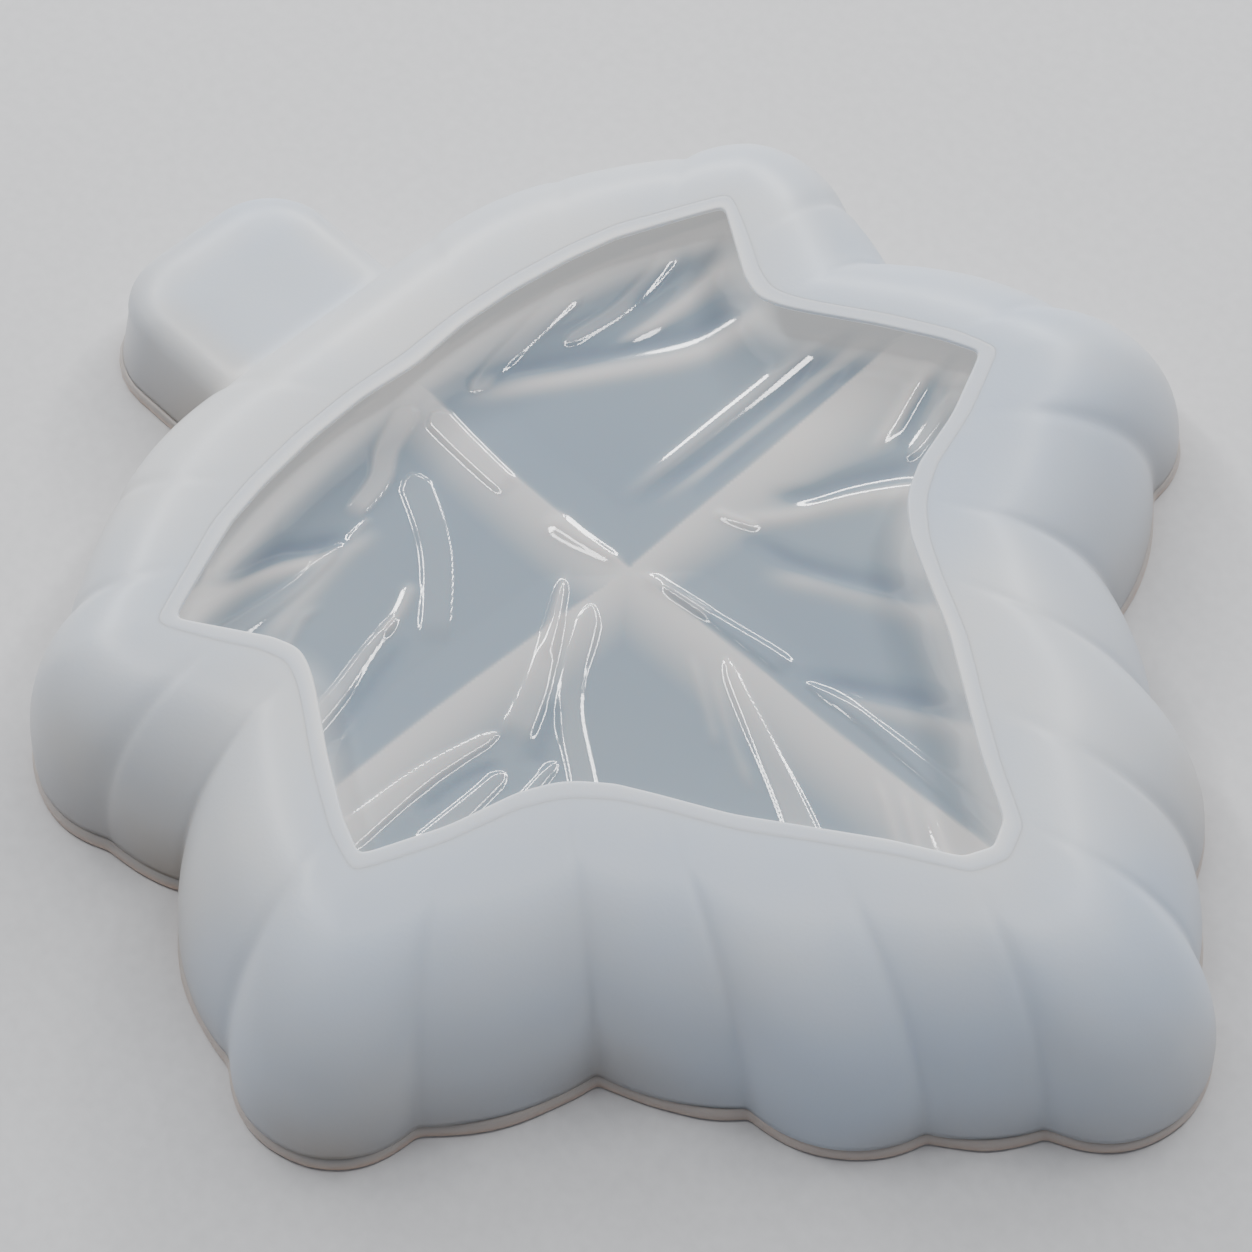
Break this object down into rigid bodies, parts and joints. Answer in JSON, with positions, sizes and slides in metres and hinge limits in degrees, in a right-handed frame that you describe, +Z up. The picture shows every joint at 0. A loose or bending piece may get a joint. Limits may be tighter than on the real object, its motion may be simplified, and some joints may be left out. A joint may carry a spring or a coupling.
{
  "type": "resin casting mould",
  "caption": "Flexible double-skinned casting mould for a lobed leaf dish, with an open pouring mouth, a veined core face and a stem pocket.",
  "frame": {"origin": "centre of the bounding box in plan, on the plane that the foot flange rests on", "axes": "+X along the midrib from the stem to the leaf's tip, +Y across the leaf towards a side lobe, +Z up out of the pouring mouth"},
  "size_m": [0.2516, 0.222, 0.0326],
  "materials": {
    "satin_silicone": "satin milky translucent silicone",
    "lip_silicone": "satin milky translucent silicone, a little thicker and whiter",
    "flange_silicone": "trimmed translucent silicone edge, warm beige",
    "gloss_silicone": "glossy milky translucent silicone"
  },
  "bodies": {
    "root": {"left_side_lobe_wall": "satin_silicone", "left_basal_lobe_wall": "satin_silicone", "stem_side_wall": "satin_silicone", "right_basal_lobe_wall": "satin_silicone", "right_side_lobe_wall": "satin_silicone", "tip_lobe_wall": "satin_silicone", "stem_pocket": "satin_silicone", "pour_lip": "lip_silicone", "foot_flange": "flange_silicone", "left_side_lobe_core": "gloss_silicone", "left_basal_lobe_core": "gloss_silicone", "stem_side_core": "gloss_silicone", "right_basal_lobe_core": "gloss_silicone", "right_side_lobe_core": "gloss_silicone", "tip_lobe_core": "gloss_silicone", "leaf_face": "gloss_silicone", "leaf_veins": "gloss_silicone"}
  },
  "joints": []
}
